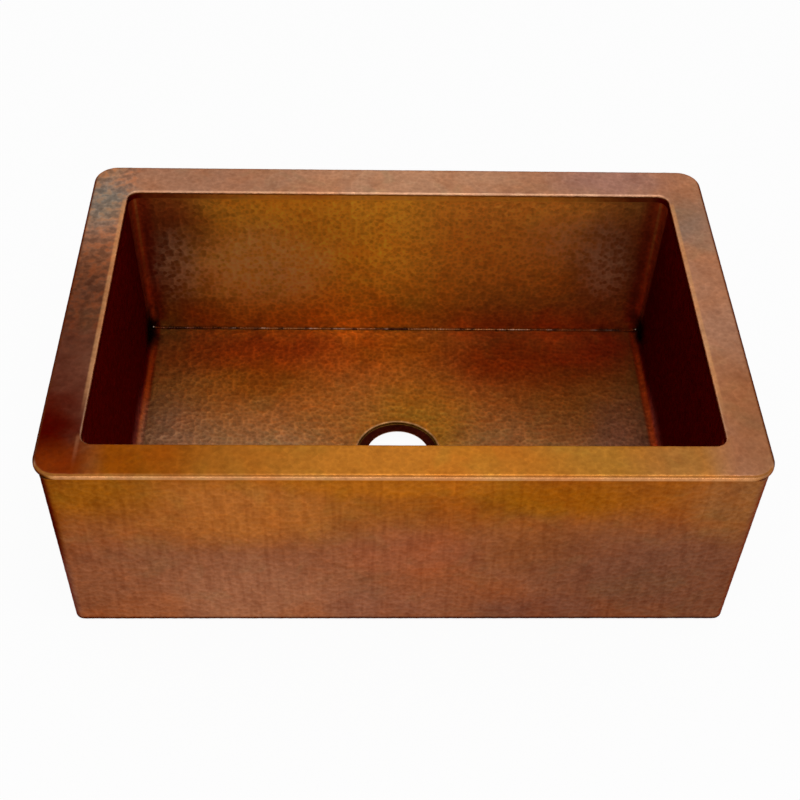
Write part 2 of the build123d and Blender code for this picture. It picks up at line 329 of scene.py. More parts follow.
class Bench:
    """Adds nodes to one tree and joins them up."""

    def __init__(self, tree):
        self.tree = tree

    def node(self, kind, settings=None, inputs=None, output=0):
        """A node with its settings, and with a value or a wire at each named input."""
        made = self.tree.nodes.new(kind)
        for key, value in (settings or {}).items():
            setattr(made, key, value)
        for key, value in (inputs or {}).items():
            if isinstance(value, Wire):
                self.tree.links.new(value.socket, made.inputs[key])
            else:
                made.inputs[key].default_value = value
        return Wire(self, made.outputs[output]) if len(made.outputs) else made

    def mix(self, first, second, share, blend="MIX"):
        """Colour between two colours, or the first one tinted by the second."""
        first = (*first, 1) if isinstance(first, tuple) else first
        second = (*second, 1) if isinstance(second, tuple) else second
        inputs = {"Factor": share, 6: first, 7: second}
        return self.node("ShaderNodeMix", {"data_type": "RGBA", "blend_type": blend}, inputs, 2)

    def tint(self, colour, other, share):
        """The colour, multiplied by another one in that share."""
        return self.mix(colour, other, share, "MULTIPLY")

    def vector(self, operation, first, second):
        return self.node("ShaderNodeVectorMath", {"operation": operation}, {0: first, 1: second})

    def scaled(self, vector, factor):
        return self.node("ShaderNodeVectorMath", {"operation": "SCALE"}, {0: vector, "Scale": factor})

    def length(self, vector):
        return self.node("ShaderNodeVectorMath", {"operation": "LENGTH"}, {0: vector}, "Value")

    def axes(self, place):
        """A place's x, its distance to either side of the middle, its y and its z."""
        x = self.node("ShaderNodeSeparateXYZ", None, {"Vector": place}, "X")
        return x, abs(x), x.also("Y"), x.also("Z")

    def ramp(self, value, low, high):
        """0 below low, 1 above high, and smooth between them."""
        settings = {"interpolation_type": "SMOOTHSTEP"}
        inputs = {"Value": value, "From Min": low, "From Max": high}
        return self.node("ShaderNodeMapRange", settings, inputs)

    def fade(self, value, low, high):
        """1 below low, 0 above high, and smooth between them."""
        return 1 - self.ramp(value, low, high)

    def band(self, value, base, low, full, fading, gone):
        """1 between full and fading and 0 outside low and gone, all four counted from base."""
        return self.ramp(value, base + low, base + full) * self.fade(value, base + fading, base + gone)

    def noise(self, place, scale, detail, distortion=0.0):
        """Cloudy pattern, finer at a larger scale."""
        inputs = {"Vector": place, "Scale": scale, "Detail": detail, "Distortion": distortion}
        return self.node("ShaderNodeTexNoise", None, inputs)


MARK_WIDTH = 0.0066
MARK_DEPTH = 0.00021
MARK_SCATTER = 0.88
SWAY_WIDTH = 0.07
SWAY_DEPTH = 0.00022
MARK_BUMP = MARK_DEPTH * 0.4
GRAIN_BUMP = 0.00002
MARK_REACH = 0.6  # from a mark's middle to its ridge, as a share of its width
PATCH_SWAY = 0.045
PATCH_CORE = 0.2  # share of a patch's reach that has its full tint


def hammer_hollow(bench, sheet):
    """0 in the middle of each hammer mark and 1 on the ridges between marks."""
    settings = {"voronoi_dimensions": "2D", "feature": "SMOOTH_F1"}
    inputs = {"Vector": sheet, "Scale": 1 / MARK_WIDTH, "Smoothness": 0.25, "Randomness": MARK_SCATTER}
    distance = bench.node("ShaderNodeTexVoronoi", settings, inputs, "Distance")
    return ((distance / MARK_REACH) ** 2).low(1)


def begun_tree(name, sizes):
    """Geometry node tree with named inputs, its bench and the node of its inputs."""
    tree = bpy.data.node_groups.new(name, "GeometryNodeTree")
    for label, kind in {"Geometry": "Geometry", **sizes, "Finish": "Material"}.items():
        tree.interface.new_socket(label, in_out="INPUT", socket_type=f"NodeSocket{kind}")
    tree.interface.new_socket("Geometry", in_out="OUTPUT", socket_type="NodeSocketGeometry")
    bench = Bench(tree)
    return tree, bench, bench.node("NodeGroupInput")


def end_tree(bench, solid, finish):
    """Gives the solid its finish and ends the tree with it."""
    finished = bench.node("GeometryNodeSetMaterial", None, {"Geometry": solid, "Material": finish})
    bench.node("NodeGroupOutput", None, {"Geometry": finished})


def hammering_tree():
    """Geometry nodes that press the marks of the hammer into a sheet, along its stored press direction."""
    sizes = {"Mark Depth": "Float", "Sway Depth": "Float", "Shift": "Float"}
    tree, bench, given = begun_tree("hammering", sizes)
    settings = {"data_type": "FLOAT_VECTOR"}
    sheet = bench.node("GeometryNodeInputNamedAttribute", settings, {"Name": "sheet"})
    press = bench.node("GeometryNodeInputNamedAttribute", settings, {"Name": "press"})
    hollow = hammer_hollow(bench, sheet)
    place = bench.node("GeometryNodeInputPosition")
    shifted = bench.vector("ADD", place, given.also("Shift"))
    sway = bench.noise(shifted, 1 / SWAY_WIDTH, 1.0)
    depth = (1 - hollow) * given.also("Mark Depth") + sway * given.also("Sway Depth")
    offset = bench.scaled(press, depth)
    pressed = bench.node("GeometryNodeSetPosition", None, {"Geometry": given, "Offset": offset})
    solid = bench.node("GeometryNodeRealizeInstances", None, {"Geometry": pressed})
    end_tree(bench, solid, given.also("Finish"))
    return tree


hammering = hammering_tree()


def made_plain(piece, tree, values):
    """Runs a node tree on a piece and keeps the result as its plain mesh."""
    modifier = piece.modifiers.new(tree.name, "NODES")
    modifier.node_group = tree
    for socket in tree.interface.items_tree:
        if socket.name in values:
            modifier[socket.identifier] = values[socket.name]
    graph = bpy.context.evaluated_depsgraph_get()
    mesh = bpy.data.meshes.new_from_object(piece.evaluated_get(graph), depsgraph=graph)
    piece.modifiers.clear()
    rough, piece.data = piece.data, mesh
    bpy.data.meshes.remove(rough)
    mesh.name = piece.name


def on_the_sink(piece, slot, *nodes):
    """Puts a finished piece in place of the frame's nodes."""
    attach(piece, "root")
    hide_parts(*nodes)


def hammered_piece(node, patches, steps, slot, finish, shift, depth=MARK_DEPTH):
    """Folds a sheet and hammers it in place of a node.

    steps are its triangles' widths, on the face that shows and on the other, and shift moves its unevenness.
    """
    sheet = folded_sheet(f"{node}_skin", patches, *steps)
    inputs = {"Mark Depth": depth, "Sway Depth": SWAY_DEPTH, "Shift": shift, "Finish": finish}
    made_plain(sheet, hammering, inputs)
    on_the_sink(sheet, slot, node)


def patched(bench, colour, place, patches, share=1.0):
    """Tints soft-edged patches in turn. A patch is its tint, middle, reach each way and strength."""
    for tint, middle, reach, strength in patches:
        offset = bench.vector("DIVIDE", bench.vector("SUBTRACT", place, middle), reach)
        within = bench.fade(bench.length(offset), PATCH_CORE, 1.0)
        colour = bench.mix(colour, tint, within * (share * strength))
    return colour


def off_drain(bench, place):
    """How far a place lies from the drain's middle along the floor, as a vector."""
    return bench.vector("MULTIPLY", bench.vector("SUBTRACT", place, (0, drain_y, 0)), (1, 1, 0))


def turned_inwards(bench, place):
    """1 on a bowl weld's inner face and 0 on its outer face."""
    normal = bench.node("ShaderNodeNewGeometry", None, None, "Normal")
    inputs = {0: normal, 1: off_drain(bench, place)}
    away = bench.node("ShaderNodeVectorMath", {"operation": "DOT_PRODUCT"}, inputs, "Value")
    return bench.fade(away, -0.01, 0.01)


def cleared(owner):
    """Bench for a material's or the room's nodes, without those that it comes with."""
    owner.use_nodes = True
    owner.node_tree.nodes.clear()
    return Bench(owner.node_tree)


def copper(name, patina, marks=1.0, painted_sheen=(), rough=0.4, metal=1.0, shows=None):
    """Oxidised copper with its own patina, and left raw on its hidden face. The hammer marks are darkened in
    their middles, partly patina and partly painted shade of the dents, and lightened on their ridges as
    painted highlight; patches of painted sheen can be laid over them.
    """
    material = bpy.data.materials.new(name)
    bench = cleared(material)
    place = bench.node("ShaderNodeTexCoord", None, None, "Object")
    large = bench.noise(place, 9.0, 3.0, 0.8)
    medium = bench.noise(place, 38.0, 4.0)
    other = bench.noise(place, 16.0, 5.0, 1.0)
    fine = bench.noise(place, 420.0, 2.0)
    grain = bench.noise(place, 170.0, 2.0)
    sway = bench.vector("SUBTRACT", other.also("Color"), (0.5, 0.5, 0.5))
    soft = bench.vector("ADD", place, bench.scaled(sway, PATCH_SWAY))
    colour = patina(bench, place, soft)
    colour = bench.tint(colour, (1.1, 0.84, 0.6), bench.ramp(large, 0.45, 0.7) * 0.45)
    colour = bench.tint(colour, (0.92, 1.14, 1.12), bench.ramp(other, 0.5, 0.72) * 0.5)
    colour = bench.tint(colour, (0.66, 0.56, 0.54), bench.ramp(medium, 0.52, 0.75) * 0.4)
    colour = bench.tint(colour, (1.2, 1.15, 1.1), bench.fade(medium, 0.28, 0.48) * 0.4)
    colour = bench.tint(colour, (0.74, 0.66, 0.62), bench.ramp(grain, 0.5, 0.68) * (0.08 + 0.47 * marks))
    colour = bench.tint(colour, (1.26, 1.22, 1.2), bench.fade(grain, 0.34, 0.5) * (0.08 + 0.42 * marks))
    if marks:
        shows = bench.node("ShaderNodeAttribute", {"attribute_name": "show"}, None, "Fac")
        shows = bench.ramp(shows, 0.85, 1.0)
    elif shows:
        shows = shows(bench, place)
    if shows:
        raw = bench.mix((0.3, 0.135, 0.068), (0.17, 0.07, 0.038), bench.ramp(large, 0.4, 0.62))
        raw = bench.mix(raw, (0.42, 0.2, 0.1), bench.ramp(other, 0.54, 0.72) * 0.6)
        raw = bench.mix(raw, (0.11, 0.045, 0.028), bench.ramp(medium, 0.54, 0.7) * 0.4)
        colour = bench.mix(raw, colour, shows)
    height = fine * GRAIN_BUMP
    roughness = rough + (medium - 0.5) * 0.22
    if marks:
        sheet = bench.node("ShaderNodeAttribute", {"attribute_name": "sheet"}, None, "Vector")
        settings = {"voronoi_dimensions": "2D", "feature": "F1"}
        inputs = {"Vector": sheet, "Scale": 1 / MARK_WIDTH, "Randomness": MARK_SCATTER}
        blow = bench.node("ShaderNodeTexVoronoi", settings, inputs, "Distance")
        force = bench.node("ShaderNodeSeparateColor", None, {"Color": blow.also("Color")}, "Red")
        # Darker middles of the marks: patina, and painted shade of the dents.
        dot = bench.fade(blow, 0.02, 0.6) * (0.3 + force * 0.7) * marks
        # Painted highlight: the ridges between the marks are lightened.
        ridge = bench.ramp(blow, 0.36, 0.7) * marks
        facet = bench.mix((0.76, 0.72, 0.7), (1.24, 1.22, 1.2), force)
        colour = bench.tint(colour, facet, 0.8 * marks)
        colour = bench.tint(colour, (0.8, 0.74, 0.7), dot)
        colour = bench.tint(colour, (1.16, 1.12, 1.1), ridge * 0.6)
        # Painted sheen: the given patches tint the bright facets and the ridges most.
        bright = (0.12 + bench.ramp(force, 0.22, 0.85) * 0.6 + ridge * 0.34).low(1)
        colour = patched(bench, colour, soft, painted_sheen, bright * shows)
        roughness = roughness + dot * 0.12
        height = height + hammer_hollow(bench, sheet) * (MARK_BUMP * marks)
    bump = bench.node("ShaderNodeBump", None, {"Strength": 1.0, "Distance": 1.0, "Height": height})
    inputs = {"Base Color": colour, "Metallic": metal, "Roughness": roughness, "Normal": bump}
    inputs |= {"Specular Tint": (0.4, 0.14, 0.07, 1), "Specular IOR Level": 0.0}
    skin = bench.node("ShaderNodeBsdfPrincipled", None, inputs)
    bench.node("ShaderNodeOutputMaterial", None, {"Surface": skin})
    return material


lean = math.atan2(WALL_DRAFT, wall_top - floor_z)
turn = QUARTER - lean
flat_half = floor_half - FLOOR_BEND * math.tan(turn / 2)
bend_end = flat_half + FLOOR_BEND * turn
trough_half = bend_end + (wall_top - floor_z - FLOOR_BEND * (1 - math.cos(turn))) / math.cos(lean)
fall = floor_z - RECESS_DEPTH - ledge_z
shoulder_start = RECESS + RECESS_SHOULDER
shoulder_end = shoulder_start - RECESS_SHOULDER * QUARTER
foot_start = shoulder_end - (RECESS_DEPTH - RECESS_SHOULDER - RECESS_FOOT)
foot_end = foot_start - RECESS_FOOT * QUARTER
hole_cut = foot_end - (RECESS - RECESS_FOOT - DRAIN_HOLE)


def dish_share(x, y):
    """How far a point of the floor lies from the drain's ring, 0, to the edge of the fall, 1."""
    half = floor_half - FLOOR_BEND - FLOOR_MARGIN
    low, high = floor_front + FLOOR_MARGIN, floor_back - FLOOR_MARGIN
    dx, dy = x, y - drain_y
    reach = np.hypot(dx, dy) + 1e-9
    dx, dy = np.abs(dx) / reach, dy / reach
    edge_y = np.where(dy > 0, high - drain_y, drain_y - low)
    dy = np.abs(dy)
    border = np.minimum(half / np.maximum(dx, 1e-9), edge_y / np.maximum(dy, 1e-9))
    core_x, core_y = half - DISH_CORNER, edge_y - DISH_CORNER
    middle = dx * core_x + dy * core_y
    under = np.maximum(middle**2 - core_x**2 - core_y**2 + DISH_CORNER**2, 0)
    at_corner = (dx * border > core_x) & (dy * border > core_y)
    border = np.where(at_corner, middle + np.sqrt(under), border)
    ring = RECESS + RECESS_BORDER
    return np.clip((reach - ring) / (border - ring), 0, 1)


def trough_fold(flat):
    """Floor and side walls, with the fall and the recess pressed in."""
    u, y = flat[:, 0], flat[:, 1]
    across = np.abs(u)
    angle = np.clip((across - flat_half) / FLOOR_BEND, 0, turn)
    rise = np.maximum(across - bend_end, 0)
    x = np.minimum(across, flat_half) + FLOOR_BEND * np.sin(angle) + rise * math.sin(lean)
    z = floor_z + FLOOR_BEND * (1 - np.cos(angle)) + rise * math.cos(lean)
    x = np.copysign(x, u)
    z = z - fall * (1 - dish_share(x, y)) * (angle == 0)
    reach = np.hypot(u, y - drain_y)
    inner = reach < shoulder_start
    shoulder = np.clip((shoulder_start - reach) / RECESS_SHOULDER, 0, QUARTER)
    drop = np.clip(shoulder_end - reach, 0, shoulder_end - foot_start)
    foot = np.clip((foot_start - reach) / RECESS_FOOT, 0, QUARTER)
    ledge = np.maximum(foot_end - reach, 0)
    radius = shoulder_start - RECESS_SHOULDER * np.sin(shoulder) - RECESS_FOOT * (1 - np.cos(foot)) - ledge
    z = z - RECESS_SHOULDER * (1 - np.cos(shoulder)) - drop - RECESS_FOOT * np.sin(foot)
    share = np.where(inner, radius / np.maximum(reach, 1e-9), 1)
    return np.stack([x * share, drain_y + (y - drain_y) * share, z], axis=1)


def circle(radius, parts=120):
    """Closed ring round the drain."""
    return arc(0, drain_y, radius, 0, 360, parts)


def trough_outline():
    """Flat pattern of the floor and sides, with its corners notched for the end walls."""
    corner = OPENING_CORNER - WALL_DRAFT + SHEET
    half = floor_half + SHEET + FLOOR_LEDGE
    y_low, y_high = floor_front - SHEET - FLOOR_LEDGE, floor_back + SHEET + FLOOR_LEDGE
    notch_x = flat_half + FLOOR_BEND * math.sin(notch_angle)
    notch_u = flat_half + FLOOR_BEND * notch_angle
    last = math.asin((notch_x - half + corner) / corner)
    bites = []
    for k in range(NOTCH_PARTS + 1):
        a = last * k / NOTCH_PARTS
        x = half - corner + corner * math.sin(a)
        u = x if x < flat_half else flat_half + FLOOR_BEND * math.asin((x - flat_half) / FLOOR_BEND)
        bites.append((u, corner * (1 - math.cos(a))))
    bites[-1] = (notch_u, bites[-1][1])
    top_front, top_back = bend_front + WELD_GAP, bend_back - WELD_GAP
    right = [(u, y_low + b) for u, b in bites]
    right += [(notch_u, top_front), (trough_half, top_front), (trough_half, top_back), (notch_u, top_back)]
    right += [(u, y_high - b) for u, b in reversed(bites)]
    return both_halves(right)


trough_rings = [circle(r) for r in np.linspace(shoulder_start, shoulder_end, 6)]
trough_rings += [circle(r) for r in np.linspace(foot_start, foot_end, 4)]
trough_rings += [circle(RECESS + RECESS_BORDER)]
bend_lines = end_creases(flat_half, FLOOR_BEND * turn, floor_front, floor_back)


def trough_hammered(flat):
    """No marks inside the pressed recess."""
    reach = np.hypot(flat[:, 0], flat[:, 1] - drain_y)
    return np.clip((reach - shoulder_start) / RECESS_FADE, 0, 1)


# Near-black in the bottom back corners: painted shade of the pocket where three sheets meet, with some weld
# soot.
CORNER_SHADE_AND_SOOT = (0.006, 0.003, 0.003)
# Painted sheen: a pale tan patch on the left of the floor, standing in for reflected light.
SHEEN_PATCH = ((0.36, 0.205, 0.12), (-0.32, 0.0, 0.02), (0.09, 0.11, 0.05), 0.8)
CORNER_SHADE_AND_SOOT_PATCHES = [(CORNER_SHADE_AND_SOOT, (side * 0.366, 0.206, 0.046), (0.022, 0.046, 0.042), 0.97) for side in (-1, 1)]
# Near-black maroon: painted shade standing in for the dark reflections on the bowl's side walls.
SIDE_WALL_SHADE = (0.125, 0.003, 0.001)

# A patch is its colour, its middle, its reach along x, y and z, and its strength.
BOWL_PATCHES = [
    ((1.0, 0.44, 0.035), (-0.09, 0.26, 0.22), (0.38, 0.2, 0.3), 1.0),
    ((1.0, 0.38, 0.05), (0.18, 0.26, 0.22), (0.22, 0.2, 0.22), 0.9),
    ((0.58, 0.12, 0.014), (0.2, 0.25, 0.04), (0.24, 0.07, 0.07), 0.9),
    ((0.84, 0.28, 0.018), (-0.14, 0.25, 0.05), (0.24, 0.07, 0.06), 0.8),
    ((0.3, 0.085, 0.022), (-0.34, 0.24, 0.17), (0.13, 0.08, 0.17), 1.0),
    ((0.42, 0.12, 0.03), (0.34, 0.24, 0.17), (0.13, 0.08, 0.17), 1.0),
    ((1.15, 0.56, 0.09), (-0.19, 0.26, 0.15), (0.16, 0.12, 0.12), 1.0),
    ((0.58, 0.17, 0.01), (0.01, 0.25, 0.06), (0.1, 0.05, 0.05), 0.8),
    ((0.3, 0.115, 0.008), (0.0, 0.18, 0.02), (0.12, 0.05, 0.05), 0.8),
    ((0.45, 0.1, 0.01), (-0.29, 0.25, 0.05), (0.1, 0.05, 0.05), 0.8),
    ((0.4, 0.085, 0.018), (-0.33, 0.25, 0.25), (0.09, 0.08, 0.06), 0.8),
    ((0.26, 0.06, 0.01), (-0.2, 0.17, 0.02), (0.24, 0.08, 0.06), 1.0),
    ((0.17, 0.036, 0.005), (0.2, 0.15, 0.02), (0.24, 0.1, 0.06), 1.0),
    ((0.26, 0.036, 0.007), (0.3, 0.185, 0.02), (0.1, 0.07, 0.05), 0.9),
    ((0.21, 0.08, 0.006), (-0.19, 0.115, 0.02), (0.12, 0.06, 0.05), 0.6),
    ((0.19, 0.075, 0.014), (0.24, 0.02, 0.02), (0.2, 0.16, 0.06), 0.9),
    ((0.31, 0.16, 0.018), (0.03, 0.03, 0.02), (0.11, 0.16, 0.06), 0.9),
    ((0.34, 0.2, 0.1), (-0.2, -0.05, 0.02), (0.2, 0.16, 0.06), 0.9),
    ((0.24, 0.115, 0.074), (0.33, -0.04, 0.02), (0.12, 0.17, 0.06), 0.9),
    ((0.31, 0.165, 0.07), (0.17, -0.06, 0.02), (0.14, 0.16, 0.06), 0.8),
]


def bowl_patina(bench, place, soft):
    """Amber in the middle of the back wall and red-brown low down. Painted shade darkens the side walls to
    near-black maroon, the rounded corners and the drain recess, and with some weld soot the corner pockets;
    painted highlights mark the corners, the floor's bends and the drain's shoulder, and a painted sheen patch
    lies on the floor.
    """
    x, out_x, along, up = bench.axes(place)
    colour = patched(bench, (0.33, 0.15, 0.035), soft, BOWL_PATCHES)
    above = bench.ramp(up, floor_z + 0.01, floor_z + 0.022)
    # Painted shade: the ends of the end walls and their rounded corners are darkened towards dark red.
    beside = bench.ramp(out_x, core_half - 0.022, core_half - 0.004) * above
    colour = bench.mix(colour, (0.3, 0.035, 0.008), beside * 0.85)
    # Painted highlight: a thin lighter streak down each rounded corner, higher up.
    corner_highlight = bench.band(out_x, core_half, 0.0045, 0.0065, 0.0075, 0.01) * above
    corner_highlight = corner_highlight * bench.ramp(up, floor_z + 0.05, floor_z + 0.2)
    colour = bench.mix(colour, (0.33, 0.125, 0.032), corner_highlight * 0.65)
    bend = bench.ramp(out_x, flat_half - 0.004, flat_half + 0.001) * (1 - above)
    colour = bench.mix(colour, (0.27, 0.036, 0.004), bend * 0.85)
    # Painted sheen on the floor.
    colour = patched(bench, colour, soft, [SHEEN_PATCH])
    side = bench.ramp(out_x, flat_half + 0.006, floor_half - 0.001)
    bend_highlight = side * bench.fade(out_x, floor_half - 0.001, floor_half + 0.002)
    side = side * bench.ramp(along, bend_front - 0.004, bend_front + 0.004)
    side = side * bench.fade(along, bend_back - 0.004, bend_back + 0.004)
    # Painted shade: the side walls are painted near-black maroon, standing in for the dark reflections inside
    # the bowl.
    maroon = bench.mix(SIDE_WALL_SHADE, (0.108, 0.002, 0.001), bench.ramp(x, -0.1, 0.1))
    colour = bench.mix(colour, maroon, side)
    # Painted highlight: a thin pale line where the floor bends up into each side wall, towards the front.
    bend_highlight = bend_highlight * (1 - above) * bench.fade(along, 0.02, 0.12)
    colour = bench.mix(colour, (0.42, 0.12, 0.1), bend_highlight * 0.5)
    # Painted shade, with some weld soot, in the bottom back corners.
    colour = patched(bench, colour, soft, CORNER_SHADE_AND_SOOT_PATCHES)
    reach = bench.length(off_drain(bench, place))
    # Painted highlight: a pale band round the shoulder of the drain recess.
    ring = bench.band(reach, RECESS, 0, 0.001, 0.0015, 0.0035)
    colour = bench.mix(colour, (0.5, 0.27, 0.16), ring * 0.45)
    # Painted shade: inside the ring, the drain recess is near-black.
    return bench.mix((0.035, 0.006, 0.003), colour, bench.ramp(reach, RECESS - 0.0012, RECESS + 0.0002))


# Painted sheen: grey-tan patches on the hammer facets near both ends of the back wall, standing in for
# reflected light.
bowl_painted_sheen = [
    ((0.76, 0.48, 0.28), (-0.313, 0.23, 0.15), (0.055, 0.08, 0.09), 0.74),
    ((1.0, 0.58, 0.24), (-0.2, 0.23, 0.15), (0.13, 0.08, 0.09), 0.66),
    ((0.76, 0.46, 0.26), (0.3, 0.23, 0.155), (0.05, 0.08, 0.085), 0.74),
    ((0.66, 0.38, 0.22), (0.25, 0.23, 0.2), (0.1, 0.08, 0.07), 0.4),
]
bowl_copper = copper("bowl_copper", bowl_patina, painted_sheen=bowl_painted_sheen, metal=0.8)
trough_cut = [trough_outline(), circle(hole_cut)]
trough_patches = [(trough_cut, trough_rings + bend_lines, trough_fold, trough_hammered)]
hammered_piece("basin_floor_and_sides", trough_patches, TROUGH_STEPS, "bowl_copper", bowl_copper, 0.0)


# ---- Basin end walls ----
# The front and back walls are separate sheets that stand on the floor. Their ends are bent round the
# upright corners and butt against the side walls, and their feet follow the floor's bends.

WALL_STEPS = {"front": (0.0026, 0.009), "back": (0.002, 0.009)}

wall_height = wall_top - floor_z
wall_arc = OPENING_CORNER - WALL_DRAFT / 2
wall_reach = core_half + wall_arc * QUARTER + CORNER_REACH


def corner_radius(height):
    """Radius of the bowl's upright corners, which lessens towards the floor."""
    return OPENING_CORNER - WALL_DRAFT * (1 - height / wall_height)


def wall_fold(side):
    """How the front, -1, or back, 1, wall wraps round its corners and leans in towards its foot."""

    def fold(flat):
        s, h = flat[:, 0] * side, flat[:, 1]
        radius = corner_radius(h)
        across = np.abs(s)
        angle = np.clip((across - core_half) / wall_arc, 0, QUARTER)
        run = np.maximum(across - core_half - wall_arc * QUARTER, 0)
        x = np.minimum(across, core_half) + radius * np.sin(angle)
        y = core_y[side] + side * (radius * np.cos(angle) - run)
        return np.stack([np.copysign(x, s), y, floor_z + h], axis=1)

    return fold


def wall_outline():
    """Flat pattern of an end wall."""
    foot = []
    for k in range(BEND_PARTS + 1):
        a = notch_angle * k / BEND_PARTS
        x = flat_half + FLOOR_BEND * math.sin(a)
        h = FLOOR_BEND * (1 - math.cos(a))
        s = x if x < core_half else core_half + wall_arc * math.asin((x - core_half) / corner_radius(h))
        foot.append((s, h))
    right = foot + [(wall_reach, notch_rise), (wall_reach, wall_height)]
    return both_halves(right)


corner_lines = end_creases(core_half, wall_arc * QUARTER, notch_rise, wall_height)


def everywhere(flat):
    """Marks all over a sheet."""
    return np.ones(len(flat))


for end, side in (("front", -1), ("back", 1)):
    patches = [([wall_outline()], corner_lines, wall_fold(side), everywhere)]
    hammered_piece(f"basin_{end}_wall", patches, WALL_STEPS[end], "bowl_copper", bowl_copper, 1.0 + side)


# ---- Rim ----
# Four strips of the same sheet make the deck round the opening. Each is rolled down at the outer edge and
# turned down into the opening, where it meets the bowl's walls.

RIM_CORNER = 0.03
EDGE_ROLL = 0.005
EDGE_DROP = 0.007
OPENING_ROLL = 0.0035
SEAM_MARGIN = 0.001
RIM_MARK_DEPTH = MARK_DEPTH * 0.7
RIM_STEPS = (0.002, 0.007)
RIM_SHIFT = 4.0  # of the first strip's unevenness, and one more for each strip after it

rim_low, rim_high = (Vector(corner) for corner in cad_box)
deck_z = rim_high.z
flange_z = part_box("weld_opening_front")[1].z
rim_core_half = rim_high.x - RIM_CORNER
rim_core_front, rim_core_back = rim_low.y + RIM_CORNER, rim_high.y - RIM_CORNER
seam_x = open_half + SHEET + SEAM_MARGIN
edge_length = EDGE_ROLL * QUARTER + EDGE_DROP - EDGE_ROLL
flange_length = OPENING_ROLL * QUARTER + deck_z - OPENING_ROLL - flange_z
outer_flat = RIM_CORNER - EDGE_ROLL
inner_flat = OPENING_CORNER + OPENING_ROLL


def past(flat, half, y_low, y_high, radius):
    """Distance of each point past a rounded rectangle, and the direction away from it."""
    middle = np.array([0, (y_low + y_high) / 2])
    offset = flat - middle
    over = np.abs(offset) - (half, (y_high - y_low) / 2)
    at_corner = (over > 0).all(axis=1)
    length = np.linalg.norm(over, axis=1)
    sideways = over[:, 0] > over[:, 1]
    straight = np.stack([sideways, ~sideways], axis=1)
    way = np.where(at_corner[:, None], over / np.maximum(length, 1e-9)[:, None], straight)
    distance = np.where(at_corner, length, over.max(axis=1)) - radius
    return distance, np.copysign(way, offset)


def rolled(place, beyond, away, roll):
    """Level places and drops of points past a border that is rolled down at this radius."""
    beyond = np.maximum(beyond, 0)
    angle = np.minimum(beyond / roll, QUARTER)
    place = place - away * beyond[:, None] + away * (roll * np.sin(angle))[:, None]
    return place, roll * (1 - np.cos(angle)) + np.maximum(beyond - roll * QUARTER, 0)


def deck_fold(flat):
    """Flat deck, rolled down past its outer border and inside its opening's border."""
    outside, away = past(flat, rim_core_half, rim_core_front, rim_core_back, outer_flat)
    place, outer_drop = rolled(flat, outside, away, EDGE_ROLL)
    outside, away = past(flat, core_half, core_front, core_back, inner_flat)
    place, inner_drop = rolled(place, -outside, -away, OPENING_ROLL)
    return np.c_[place, deck_z - (outer_drop + inner_drop)]


outer_cut = outer_flat + edge_length
inner_cut = inner_flat - flange_length
rim_borders = [
    (rim_core_half, rim_core_front, rim_core_back, outer_flat, EDGE_ROLL, 6),
    (core_half, core_front, core_back, inner_flat, -OPENING_ROLL, 5),
]
rim_creases = []
for half, low, high, start, roll, parts in rim_borders:
    for k in range(parts + 1):
        loop = rounded(half, low, high, start + roll * QUARTER * k / parts)
        rim_creases.append(loop + loop[:1])


def end_strip(side):
    """Flat pattern of the front, -1, or back, 1, strip."""
    core = core_y[side]
    edge = (rim_core_back if side > 0 else rim_core_front) + side * outer_cut
    right = [(seam_x, edge), (seam_x, core), (core_half + inner_cut, core)]
    right += arc(core_half, core, inner_cut, 0, 90 * side)[1:]
    return both_halves(right)


def side_strip(side):
    """Flat pattern of the left, -1, or right, 1, strip."""
    x_seam = seam_x + WELD_GAP
    low, high = core_front + WELD_GAP, core_back - WELD_GAP
    line = [(x_seam, rim_core_front - outer_cut)]
    line += arc(rim_core_half, rim_core_front, outer_cut, 270, 90)
    line += arc(rim_core_half, rim_core_back, outer_cut, 0, 90)
    line += [(x_seam, rim_core_back + outer_cut), (x_seam, high), (core_half + inner_cut, high)]
    line += [(core_half + inner_cut, low), (x_seam, low)]
    return [(side * x, y) for x, y in line]


# Pale copper for the rolled outer edges: painted highlight, with some polished wear.
POLISHED_HIGHLIGHT = (0.62, 0.36, 0.22)
DECK_PATCHES = [
    ((0.47, 0.25, 0.145), (0.02, 0.26, 0.28), (0.26, 0.08, 0.06), 0.9),
    ((0.31, 0.125, 0.055), (0.41, -0.2, 0.28), (0.1, 0.2, 0.06), 0.9),
    ((0.135, 0.056, 0.032), (-0.41, 0.0, 0.28), (0.14, 0.2, 0.06), 1.0),
    ((0.062, 0.002, 0.0), (-0.42, -0.27, 0.28), (0.16, 0.34, 0.08), 1.0),
    ((0.21, 0.03, 0.003), (-0.39, -0.275, 0.28), (0.06, 0.06, 0.04), 0.8),
    ((0.22, 0.215, 0.18), (-0.4, 0.2, 0.28), (0.06, 0.08, 0.05), 0.8),
    ((0.22, 0.155, 0.115), (0.38, 0.17, 0.28), (0.06, 0.08, 0.05), 0.7),
    ((0.37, 0.19, 0.145), (0.29, 0.26, 0.28), (0.12, 0.06, 0.05), 0.8),
]
FRONT_PATCHES = [
    ((0.26, 0.063, 0.003), (-0.36, -0.26, 0.28), (0.22, 0.1, 0.06), 1.0),
    ((0.48, 0.17, 0.02), (0.02, -0.26, 0.28), (0.24, 0.1, 0.06), 0.9),
    ((0.4, 0.19, 0.028), (0.2, -0.26, 0.28), (0.1, 0.08, 0.06), 0.5),
    ((0.37, 0.17, 0.045), (0.32, -0.26, 0.28), (0.09, 0.08, 0.06), 0.7),
]


